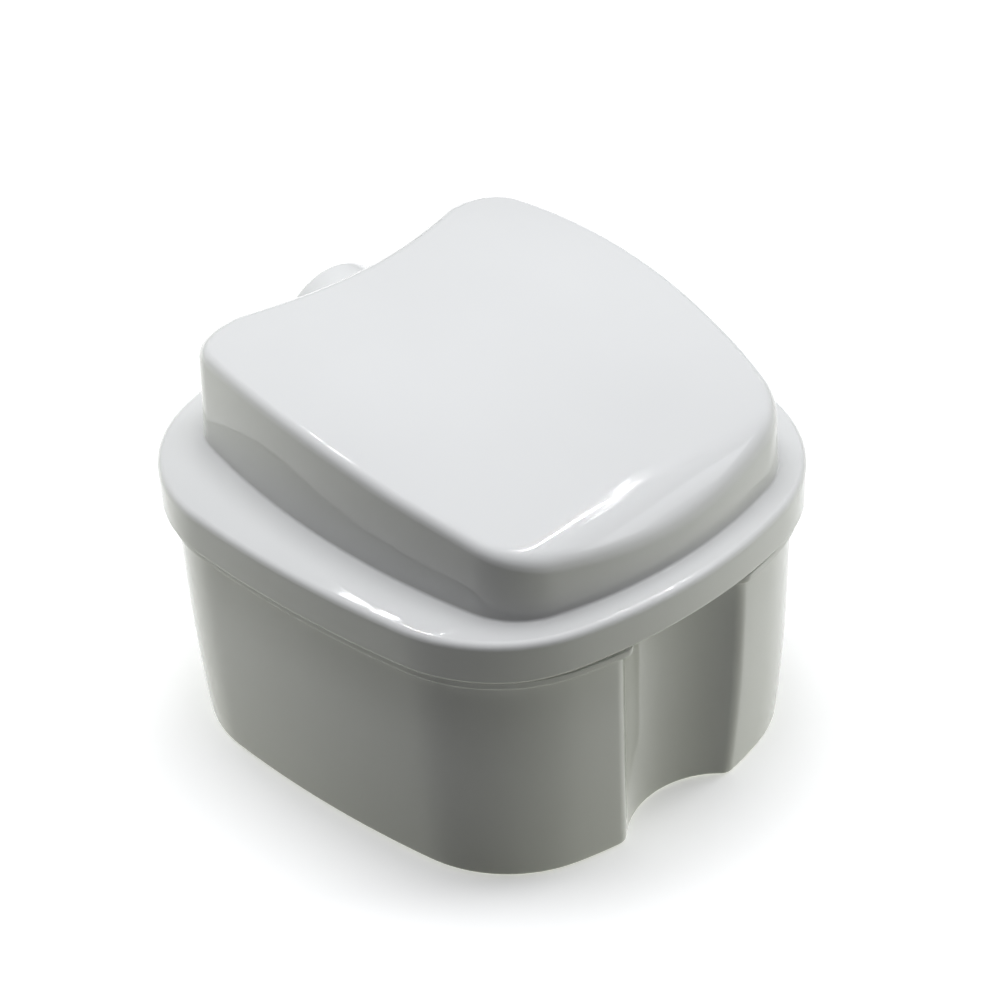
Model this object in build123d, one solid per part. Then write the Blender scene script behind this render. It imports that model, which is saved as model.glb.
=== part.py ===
"""Denture case: a tub with a hinged, crowned lid and a lift-out strainer basket.

Millimetres. +Z is up, the front with the finger groove faces -Y, +X is to the
right. While the pieces are made, Y = 0 is the middle of the lid's brim. On
export everything moves along Y so that the origin is the bottom centre of the
whole case with its hinge.
"""
from math import asin, cos, radians, sin
import os

from build123d import *

os.makedirs("parts", exist_ok=True)

# ------------------------------------------------------------------ outlines
# An outline is four bowed sides between four rounded corners.

# lid brim, seen from above
brim_half_front = 33.3
brim_half_back = 41.6
brim_y_front = -35.4
brim_y_back = 32.3
brim_bow_front = 7.9
brim_bow_side = 3.2
brim_bow_back = 11.0
brim_r_front = 24.6
brim_r_back = 23.4

# foot of the raised crown, placed from the corners of the brim
crown_in_front = 6.8        # its front corners in from the brim's
crown_in_back = 13.2        # its back corners in from the brim's
crown_behind_front = 0.9    # its front corners behind the brim's
crown_behind_back = 5.3     # its back corners behind the brim's
crown_bow_front = 5.2
crown_bow_side = 5.2
crown_dish = 8.2            # hollow of its back
crown_r_front = 12.0
crown_r_back = 8.6

# ------------------------------------------------------------------- heights
tub_waist_z = 21.0          # where the tub wall turns in towards the foot
skirt_z = 39.7              # lower edge of the lid's skirt
brim_height = 7.8           # upper face of the brim above the skirt's edge
crown_height = 17.2         # top of the crown above the brim
roof_peak_y = 11.6
roof_radius = 151.0         # long arch of the crown from back to front
nose_in = 6.7               # the arch turns down this far behind the crown's front
nose_radius = 14.0
nose_turn = 85.0            # degrees that the roof turns down at the nose

# ----------------------------------------------------------------------- lid
lid_wall = 1.8
brim_roll = 2.4             # rounded outer edge of the brim
crown_draft = 2.4           # degrees
crown_edge_r = 3.4
crown_foot_r = 0.9
skirt_relief = 0.8          # shallow rise of the skirt's edge at the front
skirt_relief_half = 27.0
tab_half = 10.0             # half-round tab behind the crown
tab_height = 12.2           # above the brim
tab_in = 1.0                # its back face in front of the crown's back corners
tab_edge_r = 1.3

# ----------------------------------------------------------------------- tub
seam_gap = 0.2              # between the skirt and the bead it sits over
bead_height = 1.4
bead_inset = 0.7            # bead behind the face of the skirt
wall_inset = 2.1            # tub wall at the top, behind the face of the skirt
waist_inset = 2.3
foot_inset = 3.6
tub_wall = 2.2
skirt_clearance = 1.1       # round the rim, so that the skirt swings off it
rim_gap = 0.5               # between the rim and the underside of the brim
rim_edge_r = 0.5
tub_floor = 3.0
tub_floor_r = 1.6
foot_ring_width = 2.6
foot_recess = 1.0
foot_edge_r = 0.6

# finger groove down the front of the tub
groove_radius = 14.0
groove_out = 5.1            # axis of the groove in front of the brim
groove_corner_r = 2.0

# --------------------------------------------------------------------- hinge
hinge_out = 3.7             # hinge axis behind the brim
hinge_drop = 3.3            # hinge axis below the skirt's edge
knuckle_r = 3.0
lid_knuckle = 15.0          # length of the middle knuckle, on the lid
tub_knuckle = 7.5           # length of each outer knuckle, on the tub
knuckle_gap = 0.3
pin_r = 1.25
pin_fit = 0.04              # radial clearance of the pin in its bores
pin_chamfer = 0.2
arm_rise = 0.8              # lid arm starts this far above the skirt's edge
arm_root = 3.6              # height of the lid arm where it leaves the skirt
tub_arm_root = 8.6          # height of the tub arms where they leave the wall

# -------------------------------------------------------------------- basket
rib_drop = 7.2              # the ribs that the basket hangs on, below the rim
rib_reach = 1.7
rib_width = 1.6
rib_side_y = (-17.0, 19.0)
rib_back_x = 17.0
basket_gap = 0.6            # flange to tub wall
flange_width = 2.1
flange_thickness = 1.4
basket_wall = 1.4
basket_floor_z = 8.0
basket_draft = 1.6          # narrowing of the wall from flange to floor
basket_groove_gap = 1.0
basket_floor_r = 2.0
slot_width = 2.6
slot_pitch = 6.2
side_slots = 7
end_slots = 3
end_slot_x = 15.0
floor_slots = 8
floor_slot_x = (-21.0, 0.0, 21.0)
floor_slot_length = 15.0
slot_land = 5.0             # plain wall left above and below the wall slots

# ---------------------------------------------------------------------- bail
bail_y = 2.0
bail_rise = 1.8             # pivot above the basket's flange
bail_reach = 18.6
bail_width = 3.0
bail_thickness = 2.0
bail_bend_r = 8.0
bail_eye_r = 3.0
boss_r = 1.5
boss_fit = 0.06
boss_side_gap = 0.3
boss_collar_r = 2.4
boss_collar = 3.9           # length of the collar, from the ear to the bail's side gap
boss_nose = 0.5             # boss beyond the leg, on the inside
ear_half = 4.0
ear_height = 4.9            # above the basket's flange

# -------------------------------------------------------------------- modelling
joined = 0.5                # depth that a joined piece reaches into its neighbour
overrun = 1.0               # length that a cutting block runs past what it cuts
near = 0.01                 # edges and corners closer than this are the same

# ------------------------------------------------------------ derived places
brim_z = skirt_z + brim_height
roof_peak_z = brim_z + crown_height
tab_top_z = brim_z + tab_height
hinge_z = skirt_z - hinge_drop
brim_under_z = brim_z - lid_wall
rim_z = brim_under_z - rim_gap
bead_top_z = skirt_z - seam_gap
bead_z = bead_top_z - bead_height
rim_inset = lid_wall + skirt_clearance
cavity_inset = wall_inset + tub_wall
groove_depth_r = groove_radius + tub_wall
flange_inset = cavity_inset + basket_gap
basket_inset = flange_inset + flange_width
basket_hollow_inset = basket_inset + basket_wall
rib_seat_z = rim_z - rib_drop
flange_top_z = rib_seat_z + flange_thickness
bail_z = flange_top_z + bail_rise
ear_top_z = flange_top_z + ear_height
knuckle_pitch = (lid_knuckle + tub_knuckle) / 2 + knuckle_gap
pin_length = lid_knuckle + 2 * (tub_knuckle + knuckle_gap)
brim_front_y = brim_y_front - brim_bow_front
brim_back_y = brim_y_back + brim_bow_back
crown_y_front = brim_y_front + crown_behind_front
crown_y_back = brim_y_back + crown_behind_back
nose_y = crown_y_front - crown_bow_front + nose_in
tab_back_y = crown_y_back - tab_in
groove_y = brim_front_y - groove_out
hinge_y = brim_back_y + hinge_out
origin_y = (brim_front_y + hinge_y + knuckle_r) / 2
arm_root_y = brim_back_y - cavity_inset + joined


# -------------------------------------------------------------------- helpers
def bowed_outline(half_front, half_back, y_front, y_back,
                  bow_front, bow_side, bow_back, r_front, r_back):
    """Face with bowed sides and rounded corners, symmetric about X = 0."""
    corner_front = Vector(half_front, y_front)
    corner_back = Vector(half_back, y_back)
    along = (corner_back - corner_front).normalized()
    side_mid = (corner_front + corner_back) / 2 + Vector(along.Y, -along.X) * bow_side
    right = ThreePointArc(corner_front, side_mid, corner_back)
    left = mirror(right, Plane.YZ)
    front = ThreePointArc((-half_front, y_front), (0, y_front - bow_front), corner_front)
    back = ThreePointArc(corner_back, (0, y_back + bow_back), (-half_back, y_back))
    face = make_face([front, right, back, left])
    face = fillet([v for v in face.vertices() if v.Y < 0], r_front)
    corners = [v for v in face.vertices() if abs(v.Y - y_back) < near]
    return fillet(corners, r_back)


def inset_brim(inset):
    """Outline of the brim, moved inwards."""
    return offset(brim_outline, -inset, kind=Kind.TANGENT) if inset else brim_outline


def grooved(inset, radius, corner_r):
    """Brim outline moved inwards, with the finger groove taken out of its front."""
    face = inset_brim(inset) - Pos(0, groove_y) * Circle(radius)
    axis = Vector(0, groove_y)
    corners = [v for v in face.vertices() if abs((Vector(v) - axis).length - radius) < near]
    return fillet(corners, corner_r)


def at(z, sketch):
    return Pos(0, 0, z) * sketch


def crown_block(inset, foot_z):
    """Crown with its sides drafted and its roof arched, moved inwards by inset."""
    foot = offset(crown_outline, -inset, kind=Kind.TANGENT) if inset else crown_outline
    sides = extrude(at(foot_z, foot), roof_peak_z - foot_z + overrun, taper=crown_draft)
    long_r = roof_radius - inset
    short_r = nose_radius - inset
    centre_z = roof_peak_z - roof_radius
    lean = asin((roof_peak_y - nose_y) / roof_radius)
    nose_cy = roof_peak_y - (roof_radius - nose_radius) * sin(lean)
    nose_cz = centre_z + (roof_radius - nose_radius) * cos(lean)

    def long_point(angle):
        return (roof_peak_y - long_r * sin(angle), centre_z + long_r * cos(angle))

    def short_point(angle):
        return (nose_cy - short_r * sin(angle), nose_cz + short_r * cos(angle))

    turned = radians(nose_turn)
    roof_line = ThreePointArc(long_point(-lean), long_point(0), long_point(lean))
    nose_line = ThreePointArc(long_point(lean), short_point((lean + turned) / 2),
                              short_point(turned))
    back_y, _ = long_point(-lean)
    low = foot_z - overrun
    closing = Polyline(short_point(turned), (short_point(turned)[0], low),
                       (back_y, low), (back_y, long_point(-lean)[1]))
    side_view = Plane.YZ * make_face([roof_line, nose_line, closing])
    roof = extrude(side_view, brim_half_back, both=True)
    block = sides & roof
    top_edges = [e for e in block.edges()
                 if e.center().Z > foot_z + near and e.geom_type != GeomType.LINE]
    return fillet(top_edges, crown_edge_r - inset)


def x_cylinder(radius, length, y, z, x=0.0):
    return Pos(x, y, z) * Rot(0, 90, 0) * Cylinder(radius, length)


def knuckle_arm(length, top_z, low_z, root_y, x):
    """Knuckle on an arm that runs in from the hinge axis to the case."""
    side = Plane.YZ * (Pos(hinge_y, hinge_z) * Circle(knuckle_r)
                       + make_face(Polyline((root_y, top_z), (hinge_y, hinge_z + knuckle_r),
                                            (hinge_y, hinge_z - knuckle_r), (root_y, low_z),
                                            close=True)))
    return Pos(x, 0, 0) * extrude(side, length / 2, both=True)


brim_outline = bowed_outline(brim_half_front, brim_half_back, brim_y_front, brim_y_back,
                             brim_bow_front, brim_bow_side, brim_bow_back,
                             brim_r_front, brim_r_back)
crown_outline = bowed_outline(brim_half_front - crown_in_front, brim_half_back - crown_in_back,
                              crown_y_front, crown_y_back,
                              crown_bow_front, crown_bow_side, -crown_dish,
                              crown_r_front, crown_r_back)


# ------------------------------------------------------------------------ tub
def make_tub():
    wall = loft([at(0, grooved(foot_inset, groove_radius, groove_corner_r)),
                 at(tub_waist_z, grooved(waist_inset, groove_radius, groove_corner_r)),
                 at(bead_z, grooved(wall_inset, groove_radius, groove_corner_r))])
    wall = fillet(wall.edges().group_by(Axis.Z)[0], foot_edge_r)
    bead = extrude(at(bead_z, grooved(bead_inset, groove_radius - (wall_inset - bead_inset),
                                      groove_corner_r)), bead_height)
    rim = extrude(at(bead_top_z, grooved(rim_inset, groove_radius + rim_inset - wall_inset,
                                         groove_corner_r)), rim_z - bead_top_z)
    rim = fillet(rim.edges().group_by(Axis.Z)[-1], rim_edge_r)

    inner = loft([at(tub_floor, grooved(foot_inset + tub_wall, groove_depth_r, groove_corner_r)),
                  at(tub_waist_z, grooved(waist_inset + tub_wall, groove_depth_r,
                                          groove_corner_r)),
                  at(bead_z, grooved(cavity_inset, groove_depth_r, groove_corner_r))])
    inner = fillet(inner.edges().group_by(Axis.Z)[0], tub_floor_r)
    inner += extrude(at(bead_z, grooved(cavity_inset, groove_depth_r, groove_corner_r)),
                     rim_z - bead_z + overrun)
    recess = extrude(grooved(foot_inset + foot_ring_width, groove_radius + foot_ring_width,
                             groove_corner_r), foot_recess)

    arms = Part()
    for side in (-1, 1):
        arms += knuckle_arm(tub_knuckle, bead_z, bead_z - tub_arm_root, arm_root_y,
                            side * knuckle_pitch)
    body = wall + bead + rim + arms - inner - recess
    body -= x_cylinder(pin_r + pin_fit, pin_length + overrun, hinge_y, hinge_z)

    # ribs inside the wall that the basket's flange sits on
    core = extrude(inset_brim(cavity_inset + rib_reach), rib_seat_z)
    bars = Part()
    for y in rib_side_y:
        bars += Pos(0, y, tub_floor) * Box(2 * brim_half_back, rib_width, rib_seat_z - tub_floor,
                                           align=(Align.CENTER, Align.CENTER, Align.MIN))
    for x in (-rib_back_x, rib_back_x):
        bars += Pos(x, 0, tub_floor) * Box(rib_width, brim_back_y,
                                           rib_seat_z - tub_floor,
                                           align=(Align.CENTER, Align.MIN, Align.MIN))
    ribs = (bars & inner) - core
    return body + ribs


# ------------------------------------------------------------------------ lid
def make_lid():
    brim = extrude(at(skirt_z, brim_outline), brim_z - skirt_z)
    brim = fillet(brim.edges().group_by(Axis.Z)[-1], brim_roll)
    crown = crown_block(0, brim_z)
    shell = brim + crown
    shell = fillet(crown_foot_edges(shell), crown_foot_r)

    arch_low = brim_z - joined
    arch_mid = tab_top_z - tab_half
    post = Rectangle(2 * tab_half, arch_mid - arch_low, align=(Align.CENTER, Align.MIN))
    above = Rectangle(2 * tab_half, tab_top_z - arch_low, align=(Align.CENTER, Align.MIN))
    arch = Pos(0, arch_low) * post + Pos(0, arch_mid) * Circle(tab_half)
    arch = Plane.XZ * (arch & Pos(0, arch_low) * above)
    dish_y = crown_y_back - crown_dish
    tab = Pos(0, tab_back_y, 0) * extrude(arch, tab_back_y - dish_y + joined)
    tab = fillet(tab.edges().group_by(Axis.Y)[-1], tab_edge_r)

    arm = knuckle_arm(lid_knuckle, skirt_z + arm_rise + arm_root, skirt_z + arm_rise,
                      brim_back_y - lid_wall / 2, 0)
    shell = shell + tab + arm

    shell -= crown_block(lid_wall, brim_under_z - near)
    shell -= extrude(at(skirt_z - overrun, inset_brim(lid_wall)),
                     brim_under_z - skirt_z + overrun)
    shell -= x_cylinder(pin_r + pin_fit, pin_length + overrun, hinge_y, hinge_z)

    # shallow rise in the skirt's lower edge, over the finger groove
    arc_r = (skirt_relief_half ** 2 + skirt_relief ** 2) / (2 * skirt_relief)
    sweep = Pos(0, brim_y_front, skirt_z + skirt_relief - arc_r) * Rot(90, 0, 0) \
        * Cylinder(arc_r, -brim_front_y)
    return shell - sweep


def crown_foot_edges(shell):
    """Edges where the crown stands on the brim."""
    foot = at(brim_z, crown_outline).wires()[0]
    return [e for e in shell.edges() if foot.distance_to(e.position_at(0.5)) < near]


# --------------------------------------------------------------------- basket
def make_basket():
    groove_r = groove_depth_r + basket_groove_gap
    flange = extrude(at(rib_seat_z, grooved(flange_inset, groove_r, groove_corner_r)),
                     flange_thickness)
    outer = loft([at(basket_floor_z, grooved(basket_inset + basket_draft, groove_r + basket_draft,
                                             groove_corner_r)),
                  at(flange_top_z, grooved(basket_inset, groove_r, groove_corner_r))])
    outer = fillet(outer.edges().group_by(Axis.Z)[0], basket_floor_r)
    inner = loft([at(basket_floor_z + basket_wall,
                     grooved(basket_hollow_inset + basket_draft,
                             groove_r + basket_wall + basket_draft, groove_corner_r)),
                  at(flange_top_z, grooved(basket_hollow_inset, groove_r + basket_wall,
                                           groove_corner_r))])
    inner = fillet(inner.edges().group_by(Axis.Z)[0], basket_floor_r / 2)

    # ears with bosses that the bail swings on
    ears = Part()
    wall_x = ear_wall_x()
    ear_low = flange_top_z - joined
    ear_mid = ear_top_z - ear_half
    ear = Plane.YZ * (Pos(bail_y, ear_mid) * Circle(ear_half)
                      + Pos(bail_y, ear_low) * Rectangle(2 * ear_half, ear_mid - ear_low,
                                                         align=(Align.CENTER, Align.MIN)))
    collar = boss_collar + joined
    pin = boss_collar + boss_side_gap + bail_thickness + boss_nose
    for side in (-1, 1):
        ears += Pos(wall_x if side > 0 else -wall_x - basket_wall, 0, 0) \
            * extrude(ear, basket_wall)
        ears += x_cylinder(boss_collar_r, collar, bail_y, bail_z,
                           side * (wall_x + joined - collar / 2))
        ears += x_cylinder(boss_r, pin, bail_y, bail_z, side * (wall_x - pin / 2))

    wall_low = basket_floor_z + slot_land
    wall_high = rib_seat_z - slot_land
    height = wall_high - wall_low
    cuts = Part()
    for i in range(side_slots):
        y = bail_y + (i - (side_slots - 1) / 2) * slot_pitch
        cuts += Pos(0, y, wall_low) * slot_bar(2 * brim_half_back, slot_width, height)
    for side in (-1, 1):
        for i in range(end_slots):
            x = side * (end_slot_x + (i - (end_slots - 1) / 2) * slot_pitch)
            cuts += Pos(x, 0, wall_low) * slot_bar(slot_width, 2 * brim_half_back, height)
    for x in floor_slot_x:
        for i in range(floor_slots):
            y = bail_y + (i - (floor_slots - 1) / 2) * slot_pitch
            cuts += Pos(x, y, basket_floor_z - overrun) * slot_bar(
                floor_slot_length, slot_width, basket_wall + 2 * overrun)
    return flange + outer + ears - inner - cuts


def slot_bar(dx, dy, dz):
    return Box(dx, dy, dz, align=(Align.CENTER, Align.CENTER, Align.MIN))


def ear_wall_x():
    """Inner face of the basket's wall beside the bail's pivot."""
    face = inset_brim(basket_hollow_inset)
    line = Edge.make_line((0, bail_y, 0), (2 * brim_half_back, bail_y, 0))
    hits = [v.X for e in face.edges() for v in (e.intersect(line) or []) if hasattr(v, "X")]
    return max(hits)


# ----------------------------------------------------------------------- bail
def make_bail():
    """Flat bail folded back: eyes at the pivot, legs along +Y, bar across."""
    bar_y = bail_y + bail_reach
    path_half = ear_wall_x() - boss_collar - boss_side_gap
    leg_mid = path_half - bail_thickness / 2
    frame = make_face(Polyline((-path_half, bail_y), (-path_half, bar_y + bail_width / 2),
                               (path_half, bar_y + bail_width / 2), (path_half, bail_y),
                               close=True))
    frame = fillet([v for v in frame.vertices() if v.Y > bar_y], bail_bend_r)
    hole_half = path_half - bail_thickness
    hole_y = bail_y - overrun
    hole = make_face(Polyline((-hole_half, hole_y), (-hole_half, bar_y - bail_width / 2),
                              (hole_half, bar_y - bail_width / 2), (hole_half, hole_y),
                              close=True))
    hole = fillet([v for v in hole.vertices() if v.Y > bail_y], bail_bend_r - bail_thickness)
    bar = extrude(at(bail_z - bail_width / 2, frame - hole), bail_width)
    for side in (-1, 1):
        bar += x_cylinder(bail_eye_r, bail_thickness, bail_y, bail_z, side * leg_mid)
        bar -= x_cylinder(boss_r + boss_fit, bail_thickness + overrun, bail_y, bail_z,
                          side * leg_mid)
    return bar


def make_pin():
    pin = x_cylinder(pin_r, pin_length, hinge_y, hinge_z)
    return chamfer(pin.edges(), pin_chamfer)


makers = {
    "tub": make_tub,
    "lid": make_lid,
    "hinge_pin": make_pin,
    "strainer_basket": make_basket,
    "basket_bail": make_bail,
}

for name, make in makers.items():
    export_step(Pos(0, -origin_y, 0) * make(), f"parts/{name}.step")
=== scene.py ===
"""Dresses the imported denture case: glossy tub and lid, satin strainer, drawn hinge pin.

Metres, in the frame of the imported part: +Z up, the finger groove faces -Y. Each
moulded shell is one ring of corners that is extruded and set, ring after ring,
from its outer face round its edges to its inner face.
"""

from math import asin, atan2, cos, degrees, pi, radians, sin, sqrt, tan

import bmesh
import bpy
from mathutils import Matrix, Vector


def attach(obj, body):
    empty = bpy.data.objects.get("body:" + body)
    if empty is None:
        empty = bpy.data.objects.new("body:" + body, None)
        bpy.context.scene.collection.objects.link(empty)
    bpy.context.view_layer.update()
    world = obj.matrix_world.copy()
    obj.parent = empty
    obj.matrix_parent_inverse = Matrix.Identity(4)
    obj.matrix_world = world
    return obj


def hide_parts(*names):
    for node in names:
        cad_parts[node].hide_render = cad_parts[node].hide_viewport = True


bl_info = {
    "name": "Denture case",
    "version": (1, 0, 0),
    "blender": (4, 5, 0),
    "location": "3D View > Sidebar > Denture case",
    "description": "Models and dresses a hinged denture case with its strainer",
    "category": "Add Mesh",
}

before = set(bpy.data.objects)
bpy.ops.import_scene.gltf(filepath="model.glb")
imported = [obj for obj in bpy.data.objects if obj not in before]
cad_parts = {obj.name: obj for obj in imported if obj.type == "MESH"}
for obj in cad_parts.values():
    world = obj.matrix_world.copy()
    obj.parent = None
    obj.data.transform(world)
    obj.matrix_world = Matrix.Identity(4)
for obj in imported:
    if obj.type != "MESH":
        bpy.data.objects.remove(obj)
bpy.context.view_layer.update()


# ------------------------------------------------------------------ settings
class CaseSizes(bpy.types.PropertyGroup):
    """Sizes that the tub and the lid share."""

    brim: bpy.props.FloatVectorProperty(
        name="Brim outline",
        description="Half width at the front and back corners, their Y, the bow of the front, "
        "side and back, and the front and back corner radius",
        size=9,
        default=(0.0333, 0.0416, -0.03875, 0.02895, 0.0079, 0.0032, 0.011, 0.0246, 0.0234),
    )
    skirt_z: bpy.props.FloatProperty(
        name="Skirt edge", description="Height of the lid's lower edge",
        default=0.0397, unit="LENGTH")
    lid_wall: bpy.props.FloatProperty(
        name="Lid wall", description="Thickness of the lid", default=0.0018, unit="LENGTH")
    hinge_y: bpy.props.FloatProperty(
        name="Hinge Y", description="Hinge axis, towards the back",
        default=0.04365, unit="LENGTH")
    hinge_z: bpy.props.FloatProperty(
        name="Hinge Z", description="Height of the hinge axis", default=0.0364, unit="LENGTH")
    knuckle: bpy.props.FloatProperty(
        name="Knuckle radius", description="Outer radius of the hinge knuckles",
        default=0.003, unit="LENGTH")
    bore: bpy.props.FloatProperty(
        name="Knuckle bore", description="Radius of the hole for the pin",
        default=0.00129, unit="LENGTH")


class LidSizes(bpy.types.PropertyGroup):
    """Sizes of the lid alone."""

    crown: bpy.props.FloatVectorProperty(
        name="Crown outline",
        description="The foot of the raised crown, given as the brim's outline is",
        size=9,
        default=(0.0265, 0.0284, -0.03785, 0.03425, 0.0052, 0.0052, -0.0082, 0.012, 0.0086),
    )
    brim_z: bpy.props.FloatProperty(
        name="Brim", description="Height of the brim's upper face",
        default=0.0475, unit="LENGTH")
    peak_z: bpy.props.FloatProperty(
        name="Crown top", description="Height of the crown's highest point",
        default=0.0647, unit="LENGTH")
    peak_y: bpy.props.FloatProperty(
        name="Crown top Y", description="Where the arch of the crown is highest",
        default=0.00825, unit="LENGTH")
    arch: bpy.props.FloatProperty(
        name="Arch radius", description="Radius of the crown from back to front",
        default=0.151, unit="LENGTH")
    nose: bpy.props.FloatProperty(
        name="Nose radius", description="Radius where the arch turns down at the front",
        default=0.014, unit="LENGTH")
    nose_y: bpy.props.FloatProperty(
        name="Nose Y", description="Where the arch turns into the nose",
        default=-0.03635, unit="LENGTH")
    draft: bpy.props.FloatProperty(
        name="Draft", description="Lean of the crown's walls",
        default=radians(2.4), subtype="ANGLE")
    edge: bpy.props.FloatProperty(
        name="Crown edge", description="Rounding between the roof and the front and back walls",
        default=0.0034, unit="LENGTH")
    side_edge: bpy.props.FloatProperty(
        name="Crown side edge", description="Rounding between the roof and the side walls",
        default=0.0017, unit="LENGTH")
    camber: bpy.props.FloatProperty(
        name="Camber", description="Fall of the roof at its sides", default=0.0009,
        unit="LENGTH")
    camber_from: bpy.props.FloatProperty(
        name="Camber start", description="Distance from the middle where the roof starts to fall",
        default=0.012, unit="LENGTH")
    foot: bpy.props.FloatProperty(
        name="Crown foot", description="Hollow rounding where the walls meet the brim",
        default=0.0004, unit="LENGTH")
    roll: bpy.props.FloatProperty(
        name="Brim roll", description="Rounding of the brim's outer edge",
        default=0.0011, unit="LENGTH")
    fall: bpy.props.FloatProperty(
        name="Brim fall", description="How far the brim falls from the crown to its edge",
        default=0.00085, unit="LENGTH")
    lip: bpy.props.FloatProperty(
        name="Skirt lip", description="Rounding of the skirt's lower edge",
        default=0.0005, unit="LENGTH")
    relief: bpy.props.FloatProperty(
        name="Relief", description="Rise of the skirt's edge over the finger groove",
        default=0.0008, unit="LENGTH")
    relief_half: bpy.props.FloatProperty(
        name="Relief half width", description="Half the width of that rise",
        default=0.027, unit="LENGTH")
    tab_half: bpy.props.FloatProperty(
        name="Tab half width", description="Half the width of the tab behind the crown",
        default=0.010, unit="LENGTH")
    tab_top: bpy.props.FloatProperty(
        name="Tab top", description="Height of the tab", default=0.0597, unit="LENGTH")
    tab_front: bpy.props.FloatProperty(
        name="Tab front Y", description="Where the tab starts in the crown's wall",
        default=0.02555, unit="LENGTH")
    tab_back: bpy.props.FloatProperty(
        name="Tab back Y", description="The tab's back face", default=0.03325, unit="LENGTH")
    tab_edge: bpy.props.FloatProperty(
        name="Tab edge", description="Rounding round the tab's back face",
        default=0.0013, unit="LENGTH")
    knuckle_length: bpy.props.FloatProperty(
        name="Knuckle length", description="Length of the lid's knuckle",
        default=0.015, unit="LENGTH")
    arm_y: bpy.props.FloatProperty(
        name="Arm Y", description="Where the knuckle's arm starts in the skirt",
        default=0.03905, unit="LENGTH")


class TubSizes(bpy.types.PropertyGroup):
    """Sizes of the tub alone."""

    groove_y: bpy.props.FloatProperty(
        name="Groove Y", description="Axis of the finger groove", default=-0.05175,
        unit="LENGTH")
    groove: bpy.props.FloatProperty(
        name="Groove radius", description="Radius of the finger groove", default=0.014,
        unit="LENGTH")
    groove_corner: bpy.props.FloatProperty(
        name="Groove corner", description="Rounding of the groove's two edges", default=0.002,
        unit="LENGTH")
    wall: bpy.props.FloatProperty(
        name="Tub wall", description="Thickness of the wall", default=0.0022, unit="LENGTH")
    floor: bpy.props.FloatProperty(
        name="Floor", description="Height of the floor's upper face", default=0.003,
        unit="LENGTH")
    waist: bpy.props.FloatProperty(
        name="Waist height", description="Where the wall turns in towards the foot",
        default=0.021, unit="LENGTH")
    bead: bpy.props.FloatProperty(
        name="Bead height", description="Height of the bead below the lid", default=0.0014,
        unit="LENGTH")
    seam: bpy.props.FloatProperty(
        name="Seam", description="Gap between the bead and the skirt", default=0.0002,
        unit="LENGTH")
    recess: bpy.props.FloatProperty(
        name="Foot recess", description="Depth of the recess under the tub", default=0.001,
        unit="LENGTH")
    rim_z: bpy.props.FloatProperty(
        name="Rim", description="Height of the tub's rim", default=0.0452, unit="LENGTH")
    arm_y: bpy.props.FloatProperty(
        name="Arm Y", description="Where the knuckles' arms start in the wall",
        default=0.03615, unit="LENGTH")


class Finish(bpy.types.PropertyGroup):
    """Colours and gloss of the plastics and the pin."""

    case_colour: bpy.props.FloatVectorProperty(
        name="Case", description="Colour of the glossy plastic", subtype="COLOR",
        size=4, default=(0.72, 0.724, 0.724, 1), min=0, max=1)
    case_gloss: bpy.props.FloatProperty(
        name="Case roughness", description="Roughness of the glossy plastic", default=0.05,
        min=0, max=1, subtype="FACTOR")
    strainer_colour: bpy.props.FloatVectorProperty(
        name="Strainer", description="Colour of the satin plastic", subtype="COLOR",
        size=4, default=(0.78, 0.79, 0.78, 1), min=0, max=1)
    pin_colour: bpy.props.FloatVectorProperty(
        name="Pin", description="Colour of the drawn steel", subtype="COLOR",
        size=4, default=(0.55, 0.55, 0.56, 1), min=0, max=1)


class StageLook(bpy.types.PropertyGroup):
    """Camera, lights and floor."""

    camera_place: bpy.props.FloatVectorProperty(
        name="Camera", description="Where the camera stands", subtype="TRANSLATION",
        size=3, default=(-0.23904, -0.29034, 0.32761))
    lens: bpy.props.FloatProperty(
        name="Lens", description="Focal length in millimetres", default=115.75)
    camera_turn: bpy.props.FloatVectorProperty(
        name="Camera turn", description="Azimuth, elevation and roll of the camera",
        subtype="EULER", size=3, default=(radians(-40.11), radians(38.75), radians(-2.54)))
    camera_aim: bpy.props.FloatVectorProperty(
        name="Camera aim", description="Frame centre from the line of sight, as sight slopes",
        size=2, default=(-0.0028, 0.01275))
    floor_colour: bpy.props.FloatVectorProperty(
        name="Floor", description="Colour of the floor", subtype="COLOR",
        size=4, default=(0.9, 0.9, 0.9, 1), min=0, max=1)
    floor_glow: bpy.props.FloatProperty(
        name="Floor glow", description="Light of the floor itself, which thins the shadow",
        default=0.3, min=0)
    sky_tint: bpy.props.FloatVectorProperty(
        name="Sky tint", description="Colour of the lights above the floor",
        subtype="COLOR", size=3, default=(0.971, 0.982, 1.0), min=0, max=1)
    ground_tint: bpy.props.FloatVectorProperty(
        name="Ground tint", description="Colour of the light from below",
        subtype="COLOR", size=3, default=(0.965, 1.0, 0.82), min=0, max=1)
    ambient: bpy.props.FloatProperty(
        name="Ambient", description="Strength of the even light all round", default=0.03,
        min=0)


# ------------------------------------------------------------------ outlines
def circles_meet(centre_a, radius_a, centre_b, radius_b, towards):
    """The crossing of two circles that lies furthest towards a direction."""
    line = centre_b - centre_a
    along = (radius_a ** 2 - radius_b ** 2 + line.length_squared) / (2 * line.length)
    across = sqrt(max(radius_a ** 2 - along ** 2, 0))
    line.normalize()
    foot = centre_a + line * along
    side = Vector((line.y, -line.x)) * across
    return max((foot + side, foot - side), key=lambda point: point.dot(Vector(towards)))


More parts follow.
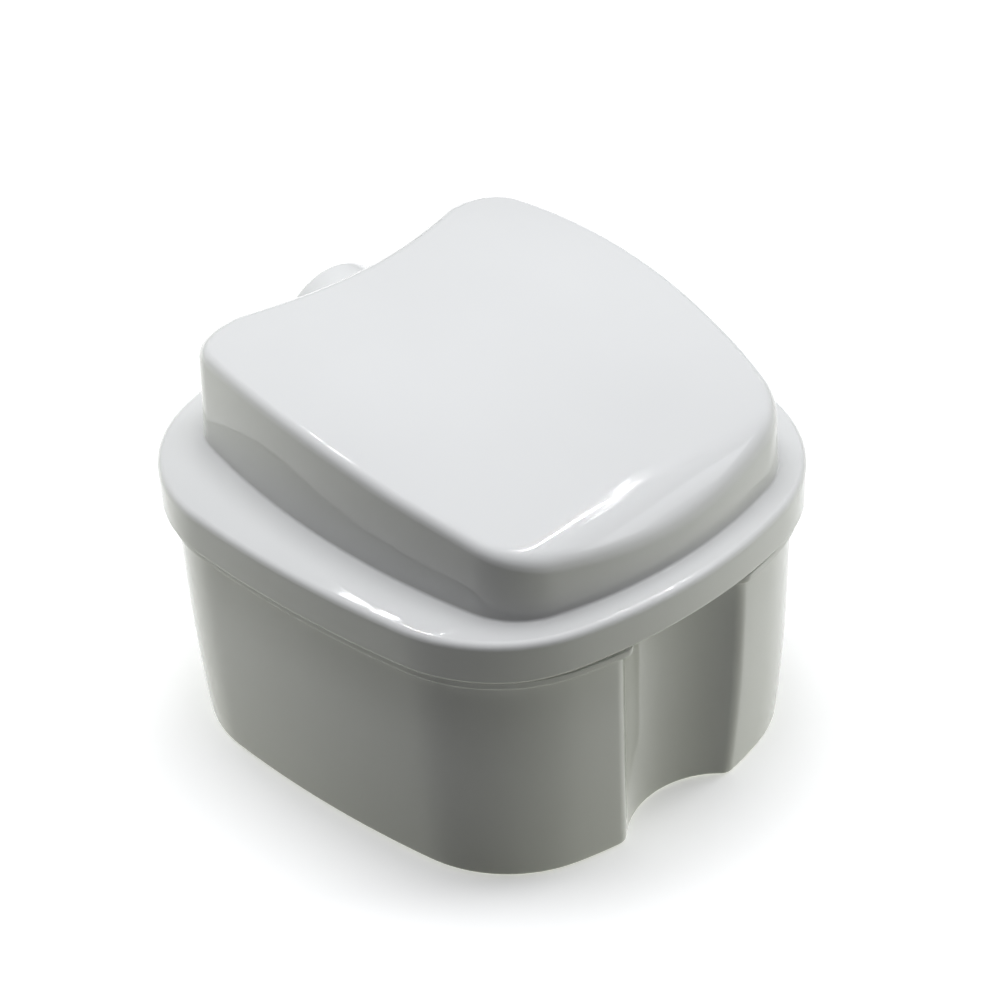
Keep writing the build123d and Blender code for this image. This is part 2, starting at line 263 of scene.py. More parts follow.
def fan(centre, radius, start, end, steps, outward=1):
    """Points and outward normals along an arc, from one direction to another."""
    first = atan2(start.y, start.x)
    swing = (atan2(end.y, end.x) - first + pi) % (2 * pi) - pi
    sites = []
    for k in range(steps + 1):
        angle = first + swing * k / steps
        ray = Vector((cos(angle), sin(angle)))
        sites.append((centre + ray * radius, ray * outward))
    return sites


# Steps along the arcs of an outline's right half; the groove's are its hollow, its
# edge and the rest of the front.
FRONT_STEPS, CORNER_STEPS, SIDE_STEPS, BACK_STEPS = 30, 20, 28, 18
GROOVE_STEPS = (12, 6, 12)
# Places of the rings between two rings on a plain face: close to both and one midway.
PLAIN_FACE = (0.04, 0.5, 0.96)


def outline(sizes, inset=0.0, groove=None):
    """Sites round an outline moved inwards: each a point and its outward normal.

    The right half runs from the front middle to the back middle, and the left
    half is its mirror, so a site keeps its number whatever the inset.
    """
    a, b, y_front, y_back, bow_front, bow_side, bow_back, r_front, r_back = sizes
    big_front = (a * a + bow_front ** 2) / (2 * bow_front)
    mid_front = Vector((0, y_front - bow_front + big_front))
    hollow = -1 if bow_back < 0 else 1
    big_back = (b * b + bow_back ** 2) / (2 * abs(bow_back))
    mid_back = Vector((0, y_back + bow_back - hollow * big_back))
    low, high = Vector((a, y_front)), Vector((b, y_back))
    chord = high - low
    big_side = (chord.length_squared / 4 + bow_side ** 2) / (2 * bow_side)
    square = Vector((chord.y, -chord.x)).normalized()
    mid_side = (low + high) / 2 + square * (bow_side - big_side)
    corner_f = circles_meet(mid_front, big_front - r_front, mid_side, big_side - r_front, (1, -1))
    corner_b = circles_meet(mid_back, big_back - hollow * r_back, mid_side, big_side - r_back,
                            (1, hollow))
    front_end = corner_f - mid_front
    if groove:
        axis_y, radius, round_r = groove
        axis = Vector((0, axis_y))
        lip = circles_meet(mid_front, big_front - inset - round_r, axis, radius + round_r, (1, 0))
        half = fan(axis, radius, Vector((0, 1)), lip - axis, GROOVE_STEPS[0], -1)
        half += fan(lip, round_r, axis - lip, lip - mid_front, GROOVE_STEPS[1])[1:]
        half += fan(mid_front, big_front - inset, lip - mid_front, front_end,
                    GROOVE_STEPS[2])[1:]
    else:
        half = fan(mid_front, big_front - inset, Vector((0, -1)), front_end, FRONT_STEPS)
    half += fan(corner_f, r_front - inset, front_end, corner_f - mid_side, CORNER_STEPS)[1:]
    half += fan(mid_side, big_side - inset, corner_f - mid_side, corner_b - mid_side,
                SIDE_STEPS)[1:]
    back_end = (corner_b - mid_back) * hollow
    half += fan(corner_b, r_back - inset, corner_b - mid_side, back_end, CORNER_STEPS)[1:]
    half += fan(mid_back, big_back - hollow * inset, back_end * hollow, Vector((0, hollow)),
                BACK_STEPS, hollow)[1:]
    flip = Vector((-1, 1))
    return half + [(point * flip, normal * flip) for point, normal in half[-2:0:-1]]


def turn(inset, z, radius, start, end, steps):
    """Insets and heights round a rounded edge: 0 degrees faces outwards and 90 up."""
    angles = [radians(start + (end - start) * k / steps) for k in range(steps + 1)]
    return [(inset - radius * cos(angle), z + radius * sin(angle)) for angle in angles]


def rings_on(sites, section):
    """One ring for each inset and height of a section."""
    return [[Vector((*(point - normal * inset), z)) for point, normal in sites]
            for inset, z in section]


def between(first, last, shares):
    """Rings between two rings."""
    return [[a.lerp(b, share) for a, b in zip(first, last)] for share in shares]


# ------------------------------------------------------------------- meshing
SAME_CORNER = 1e-7  # corners nearer than this are one
SHARP_ANGLE = 32  # degrees past which an edge stays sharp


def fresh(operator, **options):
    """Deselects everything, adds a primitive and sets its place in its mesh."""
    if bpy.context.object and bpy.context.object.mode != "OBJECT":
        bpy.ops.object.mode_set(mode="OBJECT")
    bpy.ops.object.select_all(action="DESELECT")
    operator(**options)
    bpy.ops.object.transform_apply(location=True, rotation=True, scale=True)
    return bpy.context.object


def grow(name, rings, closed_round=False):
    """A shell from rings with one corner for each site.

    A circle becomes the first ring. Its edges are extruded once for each later
    ring, and the new corners are set on that ring. The ends are capped, or joined
    to each other where the shell closes on itself.
    """
    count = len(rings[0])
    piece = fresh(bpy.ops.mesh.primitive_circle_add, vertices=count, radius=0.02,
                  location=rings[0][0])
    piece.name = piece.data.name = name
    bpy.ops.object.mode_set(mode="EDIT")
    bpy.ops.mesh.select_mode(type="VERT")
    mesh = bmesh.from_edit_mesh(piece.data)
    site, level = mesh.verts.layers.int.new("site"), mesh.verts.layers.int.new("level")
    for number, corner in enumerate(mesh.verts):
        corner[site] = number
    set_ring(piece, rings[0], 0)
    for number, ring in enumerate(rings[1:], 1):
        bpy.ops.mesh.extrude_edges_move()
        set_ring(piece, ring, number)
    if closed_round:
        pick_levels(piece, (0, len(rings) - 1))
        bpy.ops.mesh.bridge_edge_loops()
    else:
        for end in (0, len(rings) - 1):
            pick_levels(piece, (end,))
            bpy.ops.mesh.edge_face_add()
    bpy.ops.mesh.select_all(action="SELECT")
    bpy.ops.mesh.remove_doubles(threshold=SAME_CORNER)
    bpy.ops.mesh.normals_make_consistent(inside=False)
    if bmesh.from_edit_mesh(piece.data).calc_volume(signed=True) < 0:
        bpy.ops.mesh.flip_normals()
    bpy.ops.object.mode_set(mode="OBJECT")
    for layer in ("site", "level"):
        piece.data.attributes.remove(piece.data.attributes[layer])
    return piece


def set_ring(piece, ring, number):
    """Sets the selected corners on a ring, each on its own site."""
    mesh = bmesh.from_edit_mesh(piece.data)
    site, level = mesh.verts.layers.int["site"], mesh.verts.layers.int["level"]
    for corner in mesh.verts:
        if corner.select:
            corner.co = ring[corner[site]]
            corner[level] = number
    bmesh.update_edit_mesh(piece.data)


def pick_levels(piece, numbers):
    """Selects the corners and edges of some rings."""
    mesh = bmesh.from_edit_mesh(piece.data)
    level = mesh.verts.layers.int["level"]
    for face in mesh.faces:
        face.select = False
    for edge in mesh.edges:
        ends = {corner[level] for corner in edge.verts}
        edge.select = len(ends) == 1 and ends <= set(numbers)
    for corner in mesh.verts:
        corner.select = corner[level] in numbers
    bmesh.update_edit_mesh(piece.data)


def joined(name, shells):
    """One object from closed shells that reach into each other."""
    bpy.ops.object.select_all(action="DESELECT")
    for shell in shells:
        shell.select_set(True)
    bpy.context.view_layer.objects.active = shells[0]
    bpy.ops.object.join()
    piece = bpy.context.object
    piece.name = piece.data.name = name
    return piece


def smooth(piece):
    """Smooth shading between sharp edges, led by the large faces."""
    bpy.ops.object.select_all(action="DESELECT")
    piece.select_set(True)
    bpy.context.view_layer.objects.active = piece
    bpy.ops.object.shade_smooth_by_angle(angle=radians(SHARP_ANGLE))
    bpy.ops.object.modifier_add(type="WEIGHTED_NORMAL")
    piece.modifiers[-1].keep_sharp = True
    bpy.ops.object.modifier_apply(modifier=piece.modifiers[-1].name)


def dress(piece, material, body, slot, *nodes):
    """Gives a piece its finish and its body and hides the nodes it stands for; the slot is not
    used.
    """
    piece.data.materials.clear()
    piece.data.materials.append(material)
    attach(piece, body)
    if nodes:
        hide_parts(*nodes)


def knuckle(name, sizes, x, length, root_y, root_top, root_low):
    """A knuckle with its bore, on an arm that runs in to the case."""
    round_steps, arm_steps, end_round = 40, 12, 0.00025
    axis = Vector((sizes.hinge_y, sizes.hinge_z))
    around = [pi / 2 - pi * k / round_steps for k in range(round_steps + 1)]
    profile = [axis + Vector((cos(angle), sin(angle))) * sizes.knuckle for angle in around]
    low, top = Vector((root_y, root_low)), Vector((root_y, root_top))
    for start, end in ((profile[-1], low), (low, top), (top, profile[0])):
        profile += [start.lerp(end, k / arm_steps) for k in range(1, arm_steps + 1)]
    profile.pop()
    rays = [(point - axis).normalized() for point in profile]
    half = length / 2
    corner = turn(end_round, half - end_round, end_round, 0, 90, 4)
    section = [(-inset, place) for inset, place in corner]
    section = [(inset, -place) for inset, place in reversed(section)] + section
    rings = [[Vector((x + place, *(point + ray * inset))) for point, ray in zip(profile, rays)]
             for inset, place in section]
    rings += [[Vector((x + place, *(axis + ray * sizes.bore))) for ray in rays]
              for place in (half, -half)]
    return grow(name, rings, closed_round=True)


# ----------------------------------------------------------------------- lid
CAMBER_FRONT, CAMBER_FADE = -0.036, 0.018  # where the camber starts, and how far it grows
BALL_MIN = 0.0004  # smallest ball that is rolled under the roof
BALL_TRIES = 8  # rounds that find where the ball touches
EDGE_STEPS = 9
# Rings on the roof, as shares of the way from its middle to its rounded edge.
ROOF_SHARES = (0.03, 0.12, 0.24, 0.36, 0.46, 0.54, 0.62, 0.7, 0.77, 0.83, 0.88, 0.91, 0.935,
               0.955, 0.97, 0.98, 0.99)
INNER_SOFT = 0.0004  # rounding of the corners under the brim
LID_ARM_TOP, LID_ARM_LOW = 0.0044, 0.0008  # the arm's root above the skirt's edge
TAB_SUNK = 0.0015  # how far the tab reaches into the brim
TAB_ARC_STEPS, TAB_SIDE_STEPS = 48, 12


def roof_height(sizes, x, y, depth):
    """Height of the crown's roof at a point, or of the face that far below it."""
    beyond = max(abs(x) - sizes.camber_from, 0) / (sizes.crown[1] - sizes.camber_from)
    fall = sizes.camber * beyond ** 2 * min(max((y - CAMBER_FRONT) / CAMBER_FADE, 0), 1)
    lean = asin((sizes.peak_y - sizes.nose_y) / sizes.arch)
    arch, nose = sizes.arch - depth, sizes.nose - depth
    if y >= sizes.peak_y - arch * sin(lean):
        return sizes.peak_z - sizes.arch + sqrt(arch ** 2 - (y - sizes.peak_y) ** 2) - fall
    nose_y = sizes.peak_y - (sizes.arch - sizes.nose) * sin(lean)
    nose_z = sizes.peak_z - sizes.arch + (sizes.arch - sizes.nose) * cos(lean)
    return nose_z + sqrt(max(nose ** 2 - (y - nose_y) ** 2, 0)) - fall


def roof_normal(sizes, x, y, depth):
    """Upward normal of that face."""
    step = 1e-6  # metres to each side of the point
    rise_x = roof_height(sizes, x + step, y, depth) - roof_height(sizes, x - step, y, depth)
    rise_y = roof_height(sizes, x, y + step, depth) - roof_height(sizes, x, y - step, depth)
    return Vector((-rise_x, -rise_y, 2 * step)).normalized()


def crown_edge(sizes, sites, foot_z, depth):
    """Rings of a ball rolled between the roof and the walls, from roof to wall.

    The ball is small along the side walls and large at the front and the back.
    """
    rings = [[] for _ in range(EDGE_STEPS + 1)]
    lean = sizes.draft
    for point, normal in sites:
        radius = sizes.edge + (sizes.side_edge - sizes.edge) * abs(normal.x) ** 1.5
        radius = max(radius - depth, BALL_MIN)
        flat = point - normal * radius
        for _ in range(BALL_TRIES):
            z = roof_height(sizes, *flat, depth + radius)
            flat = point - normal * ((z - foot_z) * tan(lean) + radius / cos(lean))
        centre = Vector((*flat, z))
        up = roof_normal(sizes, *flat, depth + radius)
        side = Vector((*(normal * cos(lean)), sin(lean)))
        for k, ring in enumerate(rings):
            ring.append(centre + up.slerp(side, k / EDGE_STEPS) * radius)
    return rings


def roof_rings(sizes, edge_ring, depth):
    """Rings on the roof, from its middle out to its rounded edge."""
    rings = []
    for share in ROOF_SHARES:
        ring = []
        for corner in edge_ring:
            flat = corner.xy * share
            ring.append(Vector((*flat, roof_height(sizes, *flat, depth))))
        rings.append(ring)
    return rings


def crown_rings(sizes, sites, foot_z, depth):
    """Rings of one face of the crown, from the middle of the roof to the foot."""
    edge = crown_edge(sizes, sites, foot_z, depth)
    return roof_rings(sizes, edge[0], depth) + edge


class MakeLid(bpy.types.Operator):
    """Models the lid: crown, brim, skirt, tab and knuckle"""

    bl_idname = "denture_case.lid"
    bl_label = "Lid"

    def execute(self, context):
        case, lid = context.scene.case_sizes, context.scene.lid_sizes
        brim, crown = outline(case.brim), outline(lid.crown)
        wall, roll, lean = case.lid_wall, lid.roll, lid.draft
        # outer face of the crown, its hollow foot, the falling brim and its roll
        rings = crown_rings(lid, crown, lid.brim_z, 0.0)
        foot_out = lid.foot * (1 - sin(lean)) / cos(lean)
        rings += rings_on(crown, turn(-foot_out, lid.brim_z + lid.foot, lid.foot,
                                      180 + degrees(lean), 270, 5))
        edge_z = lid.brim_z - lid.fall - roll
        rolled = rings_on(brim, turn(roll, edge_z, roll, 84, 0, 10))
        rings += between(rings[-1], rolled[0], PLAIN_FACE) + rolled
        # lower edge of the skirt
        lip = lid.lip
        low = [self.skirt_low(case, lid, point) for point, _ in brim]
        edge = [(0, 3 * lip)] + turn(lip, lip, lip, 0, -90, 4)
        edge += turn(wall - lip, lip, lip, -90, -180, 4) + [(wall, 3 * lip)]
        for ring in rings_on(brim, edge):
            rings.append([corner + Vector((0, 0, z)) for corner, z in zip(ring, low)])
        # inside: skirt, underside of the brim, crown
        under_z, soft = lid.brim_z - wall, INNER_SOFT
        rings += rings_on(brim, turn(wall + soft, under_z - soft, soft, 0, 90, 3))
        inner = [(point - normal * wall, normal) for point, normal in crown]
        lip_rings = rings_on(inner, turn(-soft, under_z + soft, soft, -90, -180, 3))
        rings += between(rings[-1], lip_rings[0], PLAIN_FACE) + lip_rings
        rings += crown_rings(lid, inner, under_z, wall)[::-1]
        arm = knuckle("lid_arm", case, 0.0, lid.knuckle_length, lid.arm_y,
                      case.skirt_z + LID_ARM_TOP, case.skirt_z + LID_ARM_LOW)
        piece = joined("lid_moulding", [grow("lid_shell", rings), self.tab(lid), arm])
        smooth(piece)
        dress(piece, gloss_plastic(), "cover", "case_plastic", "lid")
        return {"FINISHED"}

    @staticmethod
    def skirt_low(case, lid, point):
        """Height of the skirt's edge at a point of the brim."""
        if point.y > 0 or abs(point.x) > lid.relief_half:
            return case.skirt_z
        arc = (lid.relief_half ** 2 + lid.relief ** 2) / (2 * lid.relief)
        return case.skirt_z + lid.relief - arc + sqrt(arc ** 2 - point.x ** 2)

    @staticmethod
    def tab(lid):
        """The half-round tab that stands on the brim behind the crown."""
        half, edge = lid.tab_half, lid.tab_edge
        middle_z = lid.tab_top - half
        foot_z = lid.brim_z - TAB_SUNK
        profile = []
        for k in range(TAB_ARC_STEPS + 1):
            angle = pi - pi * k / TAB_ARC_STEPS
            ray = Vector((cos(angle), sin(angle)))
            profile.append((Vector((0, middle_z)) + ray * half, ray))
        foot = [(half, middle_z), (half, foot_z), (-half, foot_z), (-half, middle_z)]
        for start, end in zip(foot, foot[1:]):
            for k in range(1, TAB_SIDE_STEPS):
                point = Vector(start).lerp(Vector(end), k / TAB_SIDE_STEPS)
                profile.append((point, Vector((point.x / half, 0))))
        section = [(0, lid.tab_front), (0, lid.tab_back - 2 * edge)]
        section += turn(edge, lid.tab_back - edge, edge, 0, 90, 8)
        section.append((2 * edge, lid.tab_back))
        rings = [[Vector((point.x - out.x * inset, y, point.y - out.y * inset))
                  for point, out in profile] for inset, y in section]
        return grow("lid_tab", rings)


# ----------------------------------------------------------------------- tub
# How far the tub's faces lie inside the brim's outline.
FOOT_IN, RECESS_IN, WALL_IN, BEAD_IN, RIM_IN = 0.0036, 0.0062, 0.0021, 0.0007, 0.0029
WALL_LEAN, WALL_BOW = 0.0619, 1.318  # the wall's slope at its foot, and its bow
RECESS_GROOVE = 0.0026  # how much wider the groove is in the recess under the tub
SMALL_ROUND, FOOT_ROUND, RIM_ROUND, FLOOR_ROUND = 0.0003, 0.0006, 0.0005, 0.0016
OUTER_HEIGHTS = (0.0015, 0.004, 0.008, 0.012, 0.016, 0.021, 0.026, 0.031, 0.035)
RIM_HEIGHTS, INNER_HEIGHTS = (0.0435, 0.0405), (0.034, 0.029, 0.024, 0.018, 0.012, 0.007)
TUB_KNUCKLE_X, TUB_KNUCKLE_LENGTH, TUB_ARM_HEIGHT = 0.01155, 0.0075, 0.0086
RIB_HALF, RIB_REACH, RIB_TOP, RIB_ROUND = 0.0008, 0.0060, 0.038, 0.0003
RIB_SUNK = 0.0005  # how far a rib reaches into the floor
RIB_HEIGHTS = (0.010, 0.018, 0.026, 0.034)


class MakeTub(bpy.types.Operator):
    """Models the tub: wall with its finger groove, bead, rim, foot, ribs and knuckles"""

    bl_idname = "denture_case.tub"
    bl_label = "Tub"

    def execute(self, context):
        case, tub = context.scene.case_sizes, context.scene.tub_sizes
        rings = []

        def add(section, face, radius):
            """Rings of a section; a face is the inset that has that groove radius."""
            for inset, z in section:
                base = face(z) if callable(face) else face
                deeper = inset - base
                sites = outline(case.brim, inset, (tub.groove_y, radius + deeper,
                                                   tub.groove_corner - deeper))
                rings.append([Vector((*point, z)) for point, _ in sites])

        def lean_in(z):
            """Inset of the wall's outer face at a height."""
            return FOOT_IN - WALL_LEAN * z + WALL_BOW * z * (z - tub.waist)

        def cavity(z):
            """Inset of the wall's inner face at a height, plumb above the bead."""
            return lean_in(min(z, bead_low)) + tub.wall

        groove, soft = tub.groove, SMALL_ROUND
        bead_top = case.skirt_z - tub.seam
        bead_low = bead_top - tub.bead
        # recess under the tub, foot and wall
        add(turn(RECESS_IN + soft, tub.recess - soft, soft, 90, 0, 3), RECESS_IN,
            groove + RECESS_GROOVE)
        add(turn(RECESS_IN - soft, soft, soft, -180, -90, 3), RECESS_IN,
            groove + RECESS_GROOVE)
        add(turn(lean_in(0) + FOOT_ROUND, FOOT_ROUND, FOOT_ROUND, -90, 0, 6), lean_in(0), groove)
        add([(lean_in(z), z) for z in OUTER_HEIGHTS], lean_in, groove)
        # bead and rim
        add(turn(WALL_IN - soft, bead_low - soft, soft, 180, 90, 3), WALL_IN, groove)
        bead_r = groove - WALL_IN + BEAD_IN
        add(turn(BEAD_IN + soft, bead_low + soft, soft, -90, 0, 4), BEAD_IN, bead_r)
        add(turn(BEAD_IN + soft, bead_top - soft, soft, 0, 90, 4), BEAD_IN, bead_r)
        rim_r, rim_round_z = groove - WALL_IN + RIM_IN, tub.rim_z - RIM_ROUND
        add(turn(RIM_IN - soft, bead_top + soft, soft, -90, -180, 3), RIM_IN, rim_r)
        add([(RIM_IN, tub.rim_z - 3 * RIM_ROUND)], RIM_IN, rim_r)
        add(turn(RIM_IN + RIM_ROUND, rim_round_z, RIM_ROUND, 0, 90, 5), RIM_IN, rim_r)
        # inside, down to the floor
        deep_r, top_in = groove + tub.wall, cavity(tub.rim_z)
        add(turn(top_in - RIM_ROUND, rim_round_z, RIM_ROUND, 90, 180, 5), cavity, deep_r)
        heights = (*RIM_HEIGHTS, bead_low, *INNER_HEIGHTS)
        add([(cavity(z), z) for z in heights], cavity, deep_r)
        bowl_z = tub.floor + FLOOR_ROUND
        bowl_in = cavity(bowl_z)
        add(turn(bowl_in + FLOOR_ROUND, bowl_z, FLOOR_ROUND, 0, -90, 7), bowl_in, deep_r)
        shells = [grow("tub_shell", rings)]
        for side in (-1, 1):
            shells.append(knuckle("tub_arm", case, side * TUB_KNUCKLE_X, TUB_KNUCKLE_LENGTH,
                                  tub.arm_y, bead_low, bead_low - TUB_ARM_HEIGHT))
        shells += self.ribs(case, tub, lean_in)
        piece = joined("tub_moulding", shells)
        smooth(piece)
        dress(piece, gloss_plastic(), "case", "case_plastic", "tub")
        return {"FINISHED"}

    @staticmethod
    def ribs(case, tub, lean_in):
        """Upright ribs inside the wall that the strainer's flange rests on."""
        sites = outline(case.brim)
        at_sides = [(side, y) for y in (-0.02035, 0.01565) for side in (-1, 1)]
        at_back = (-0.017, 0.017)
        places = []
        for side, y in at_sides:
            point, normal = min(sites, key=lambda s: abs(s[0].y - y) + (s[0].x * side < 0))
            places.append((Vector((point.x, y)), Vector((side, 0)), Vector((0, 1)), normal))
        for x in at_back:
            point, normal = min(sites, key=lambda s: abs(s[0].x - x) + (s[0].y < 0))
            places.append((Vector((x, point.y)), Vector((0, 1)), Vector((1, 0)), normal))
        ribs = []
        for base, out, across, normal in places:
            slant = abs(normal.dot(out))
            rings = []
            for z in (tub.floor - RIB_SUNK, *RIB_HEIGHTS, RIB_TOP - RIB_ROUND, RIB_TOP):
                shrink = RIB_ROUND if z == RIB_TOP else 0.0
                inner = base - out * (RIB_REACH / slant - shrink)
                outer = base - out * ((lean_in(z) + 0.5 * tub.wall) / slant)
                side = across * (RIB_HALF - shrink)
                corners = [inner - side, inner + side, outer + side, outer - side]
                rings.append([Vector((*corner, z)) for corner in corners])
            ribs.append(grow("rib", rings))
        return ribs


# ------------------------------------------------------------------- finishes
def nodes_of(name):
    """A new material, its shader and a function that adds linked nodes to it."""
    material = bpy.data.materials.new(name)
    material.use_nodes = True
    tree = material.node_tree
    shader = tree.nodes["Principled BSDF"]

    def add(kind, settings=(), inputs=()):
        node = tree.nodes.new(kind)
        for key, value in dict(settings).items():
            setattr(node, key, value)
        for key, value in dict(inputs).items():
            if isinstance(value, bpy.types.NodeSocket):
                tree.links.new(value, node.inputs[key])
            else:
                node.inputs[key].default_value = value
        return node

    return material, tree, shader, add


def plastic(name, colour, roughness, spread, grain, grain_depth):
    """Moulded plastic: faint shade and gloss changes, a slow ripple and a fine skin."""
    if name in bpy.data.materials:
        return bpy.data.materials[name]
    material, tree, shader, add = nodes_of(name)
    place = add("ShaderNodeTexCoord").outputs["Object"]
    cloud = add("ShaderNodeTexNoise", inputs={"Vector": place, "Scale": 34.0, "Detail": 3.0})
    ramp = add("ShaderNodeValToRGB", inputs={"Fac": cloud.outputs["Fac"]})
    dark, light = ramp.color_ramp.elements
    dark.position, light.position = 0.3, 0.7
    dark.color = (*[channel * 0.975 for channel in colour[:3]], 1)
    light.color = tuple(colour)
    tree.links.new(ramp.outputs["Color"], shader.inputs["Base Color"])
    haze = add("ShaderNodeTexNoise", inputs={"Vector": place, "Scale": 90.0, "Detail": 4.0})
    gloss = add("ShaderNodeMapRange", inputs={
        "Value": haze.outputs["Fac"], "From Min": 0.3, "From Max": 0.7,
        "To Min": roughness - spread, "To Max": roughness + spread})
    tree.links.new(gloss.outputs["Result"], shader.inputs["Roughness"])
    slow = add("ShaderNodeTexNoise", inputs={"Vector": place, "Scale": 55.0, "Detail": 1.0})
    ripple = add("ShaderNodeBump", inputs={
        "Height": slow.outputs["Fac"], "Strength": 0.35, "Distance": 0.00006})
    fine = add("ShaderNodeTexNoise", inputs={"Vector": place, "Scale": grain, "Detail": 2.0})
    skin = add("ShaderNodeBump", inputs={
        "Height": fine.outputs["Fac"], "Strength": 0.3, "Distance": grain_depth,
        "Normal": ripple.outputs["Normal"]})
    tree.links.new(skin.outputs["Normal"], shader.inputs["Normal"])
    shader.inputs["IOR"].default_value = 1.49
    return material


def gloss_plastic():
    """The glossy white of the tub and the lid."""
    finish = bpy.context.scene.case_finish
    return plastic("case_gloss_white", finish.case_colour, finish.case_gloss, spread=0.015,
                   grain=1400.0, grain_depth=0.000004)


def satin_plastic():
    """The satin white of the strainer and its bail."""
    finish = bpy.context.scene.case_finish
    return plastic("strainer_satin_white", finish.strainer_colour, roughness=0.42, spread=0.06,
                   grain=2600.0, grain_depth=0.00001)


def drawn_steel():
    """Drawn wire: fine lines along the pin."""
    material, tree, shader, add = nodes_of("pin_drawn_steel")
    place = add("ShaderNodeTexCoord").outputs["Object"]
    drawn = add("ShaderNodeMapping", inputs={"Vector": place, "Scale": (20.0, 2600.0, 2600.0)})
    lines = add("ShaderNodeTexNoise", inputs={"Vector": drawn.outputs["Vector"], "Scale": 1.0,
                                              "Detail": 3.0})
    gloss = add("ShaderNodeMapRange", inputs={
        "Value": lines.outputs["Fac"], "From Min": 0.3, "From Max": 0.7,
        "To Min": 0.24, "To Max": 0.42})
    tree.links.new(gloss.outputs["Result"], shader.inputs["Roughness"])
    skin = add("ShaderNodeBump", inputs={
        "Height": lines.outputs["Fac"], "Strength": 0.4, "Distance": 0.00001})
    tree.links.new(skin.outputs["Normal"], shader.inputs["Normal"])
    shader.inputs["Base Color"].default_value = bpy.context.scene.case_finish.pin_colour
    shader.inputs["Metallic"].default_value = 1.0
    return material


def finish_node(name, material):
    """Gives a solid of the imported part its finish."""
    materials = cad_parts[name].data.materials
    materials.clear()
    materials.append(material)


class MakeStrainer(bpy.types.Operator):
    """Finishes the strainer basket and its bail"""

    bl_idname = "denture_case.strainer"
    bl_label = "Strainer and bail"

    def execute(self, context):
        for name in ("strainer_basket", "basket_bail"):
            finish_node(name, satin_plastic())
        return {"FINISHED"}


class MakePin(bpy.types.Operator):
    """Finishes the hinge pin"""

    bl_idname = "denture_case.pin"
    bl_label = "Hinge pin"

    def execute(self, context):
        finish_node("hinge_pin", drawn_steel())
        return {"FINISHED"}


# --------------------------------------------------------------------- stage
LIGHT_AIM, LIGHT_REACH = Vector((0, 0, 0.03)), 0.9  # what the lights face, and from how far
BROAD_SIDE = 0.5  # width and height of a broad light
# Broad lights that shade the case: name, azimuth and elevation in degrees, watts.
BROAD = (
    ("top", 0, 88, 6.1),
    ("top_left", 120, 62, 2.15),
    ("right", 337, 38, 2.6),
    ("right_level", 350, 14, 0.5),
    ("right_low", 345, -8, 1.45),
    ("back", 90, 14, 1.5),
    ("back_low", 105, -8, 3.6),
    ("back_under", 120, -35, 1.6),
    ("left_under", 180, -35, 0.3),
    ("front_under", 300, -35, 2.35),
    ("under", 0, -85, 3.3),
)
# Small lights that only mirror in the gloss: the same, then width, height and tilt.
GLINTS = (
    ("nose_strip", 3, 59.0, 0.04, 0.13, 0.0025, -12),
    ("roll_strip", 6.5, 62.7, 0.5, 0.005, 0.14, 0),
    ("pane_low", 69.0, 52.7, 0.030, 0.018, 0.014, 0),
    ("pane_high", 68.7, 54.5, 0.030, 0.018, 0.014, 0),
    ("pane_edge", 72, 56.5, 0.20, 0.012, 0.04, 0),
    ("edge_left", 74, 62, 0.6, 0.07, 0.02, 122),
    ("soft_front", -45, 45, 0.24, 0.46, 0.10, 26),
)


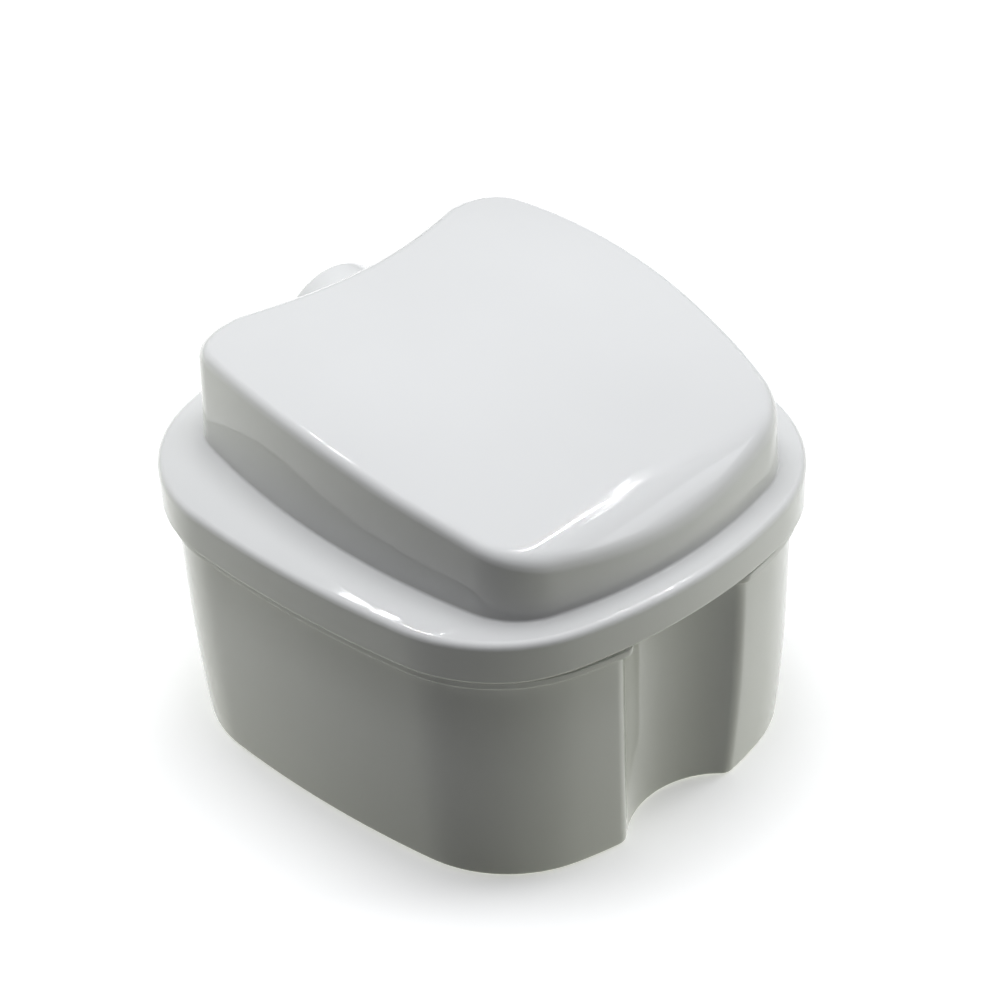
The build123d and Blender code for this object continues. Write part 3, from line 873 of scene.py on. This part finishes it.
class MakeStage(bpy.types.Operator):
    """Sets the camera, the lights and the floor"""

    bl_idname = "denture_case.stage"
    bl_label = "Stage"

    def execute(self, context):
        look = context.scene.stage_look
        self.camera(look)
        self.floor(look)
        world = bpy.data.worlds.new("studio")
        world.use_nodes = True
        air = world.node_tree.nodes["Background"].inputs
        air["Color"].default_value = (1, 1, 1, 1)
        air["Strength"].default_value = look.ambient
        context.scene.world = world
        context.scene.view_settings.view_transform = "Standard"
        for light in BROAD:
            self.softbox(*light).visible_glossy = False
        for light in GLINTS:
            self.softbox(*light).visible_diffuse = False
        return {"FINISHED"}

    @staticmethod
    def camera(look):
        """A camera that looks at the case from its own place, with its own roll."""
        azimuth, elevation, roll = look.camera_turn
        back = Vector((sin(azimuth) * cos(elevation), -cos(azimuth) * cos(elevation),
                       sin(elevation)))
        level = Vector((cos(azimuth), sin(azimuth), 0))
        rise = back.cross(level)
        right = level * cos(roll) + rise * sin(roll)
        up = rise * cos(roll) - level * sin(roll)
        sight = -back + right * look.camera_aim[0] + up * look.camera_aim[1]
        back = -sight.normalized()
        right = up.cross(back).normalized()
        up = back.cross(right)
        data = bpy.data.cameras.new("camera")
        data.sensor_width = 36.0
        data.lens = look.lens
        data.clip_start = 0.01
        camera = bpy.data.objects.new("camera", data)
        bpy.context.scene.collection.objects.link(camera)
        camera.rotation_euler = Matrix((right, up, back)).transposed().to_euler()
        camera.location = look.camera_place
        bpy.context.scene.camera = camera

    @staticmethod
    def softbox(name, azimuth, elevation, power, width=BROAD_SIDE, height=BROAD_SIDE, tilt=0):
        """A rectangular light that faces the middle of the case."""
        look = bpy.context.scene.stage_look
        azimuth, elevation = radians(azimuth), radians(elevation)
        ray = Vector((cos(azimuth) * cos(elevation), sin(azimuth) * cos(elevation),
                      sin(elevation)))
        data = bpy.data.lights.new(name, "AREA")
        data.shape = "RECTANGLE"
        data.size, data.size_y = width, height
        data.energy = power
        data.color = look.sky_tint if elevation > 0 else look.ground_tint
        light = bpy.data.objects.new(name, data)
        bpy.context.scene.collection.objects.link(light)
        light.location = LIGHT_AIM + ray * LIGHT_REACH
        facing = (-ray).to_track_quat("-Z", "Y").to_matrix()
        light.rotation_euler = (facing @ Matrix.Rotation(radians(tilt), 3, "Z")).to_euler()
        return light

    @staticmethod
    def floor(look):
        """A pale floor with a faint tone in its surface."""
        floor = fresh(bpy.ops.mesh.primitive_plane_add, size=6.0, location=(0, 0, -0.0002))
        floor.name = "floor"
        material, tree, shader, add = nodes_of("floor_pale")
        place = add("ShaderNodeTexCoord").outputs["Object"]
        cloud = add("ShaderNodeTexNoise", inputs={"Vector": place, "Scale": 3.0})
        ramp = add("ShaderNodeValToRGB", inputs={"Fac": cloud.outputs["Fac"]})
        ramp.color_ramp.elements[0].color = (*[c * 0.99 for c in look.floor_colour[:3]], 1)
        ramp.color_ramp.elements[1].color = look.floor_colour
        tree.links.new(ramp.outputs["Color"], shader.inputs["Base Color"])
        shader.inputs["Roughness"].default_value = 0.7
        shader.inputs["Emission Color"].default_value = look.floor_colour
        shader.inputs["Emission Strength"].default_value = look.floor_glow
        floor.data.materials.append(material)
        floor.visible_diffuse = floor.visible_shadow = False


class CasePanel(bpy.types.Panel):
    """Lists the steps that make the denture case"""

    bl_idname = "VIEW3D_PT_denture_case"
    bl_label = "Denture case"
    bl_space_type = "VIEW_3D"
    bl_region_type = "UI"
    bl_category = "Denture case"

    def draw(self, context):
        for step in steps:
            self.layout.operator(step.bl_idname)
        for group in groups:
            box = self.layout.box()
            for prop in getattr(context.scene, group).bl_rna.properties:
                if prop.identifier not in ("rna_type", "name"):
                    box.prop(getattr(context.scene, group), prop.identifier)


groups = {
    "case_sizes": CaseSizes,
    "lid_sizes": LidSizes,
    "tub_sizes": TubSizes,
    "case_finish": Finish,
    "stage_look": StageLook,
}
steps = (MakeTub, MakeLid, MakeStrainer, MakePin, MakeStage)


def register():
    for group, kind in groups.items():
        bpy.utils.register_class(kind)
        setattr(bpy.types.Scene, group, bpy.props.PointerProperty(type=kind))
    for kind in (*steps, CasePanel):
        bpy.utils.register_class(kind)


def unregister():
    for kind in (*steps, CasePanel):
        bpy.utils.unregister_class(kind)
    for group, kind in groups.items():
        delattr(bpy.types.Scene, group)
        bpy.utils.unregister_class(kind)


def main():
    register()
    for step in steps:
        family, name = step.bl_idname.split(".")
        getattr(getattr(bpy.ops, family), name)()


if __name__ == "__main__":
    main()
